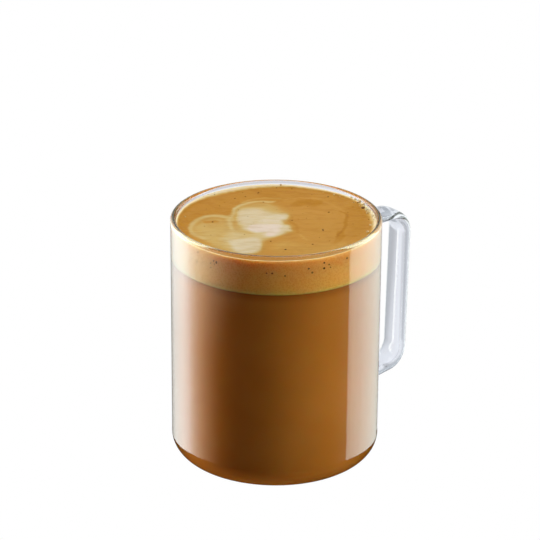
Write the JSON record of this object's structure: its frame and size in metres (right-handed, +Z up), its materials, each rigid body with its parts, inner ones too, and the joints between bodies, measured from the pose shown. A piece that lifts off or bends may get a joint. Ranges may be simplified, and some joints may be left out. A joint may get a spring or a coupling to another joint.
{
  "type": "glass of flat white",
  "caption": "Clear glass mug with a flat band handle, filled nearly to the rim with milky coffee under a layer of golden foam.",
  "frame": {"origin": "centre of the mug's flat foot, on the surface that it stands on", "axes": "+Z up along the mug's axis, +X out through the handle, +Y across the handle's band"},
  "size_m": [0.1058, 0.08, 0.0961],
  "materials": {
    "clear_glass": "clear, fire-polished, colourless",
    "milky_coffee": "opaque milky brown liquid",
    "milk_foam": "fine golden foam with a pale milk pattern"
  },
  "bodies": {
    "root": {"glass_mug": "clear_glass", "coffee": "milky_coffee", "milk_foam": "milk_foam"}
  },
  "joints": []
}
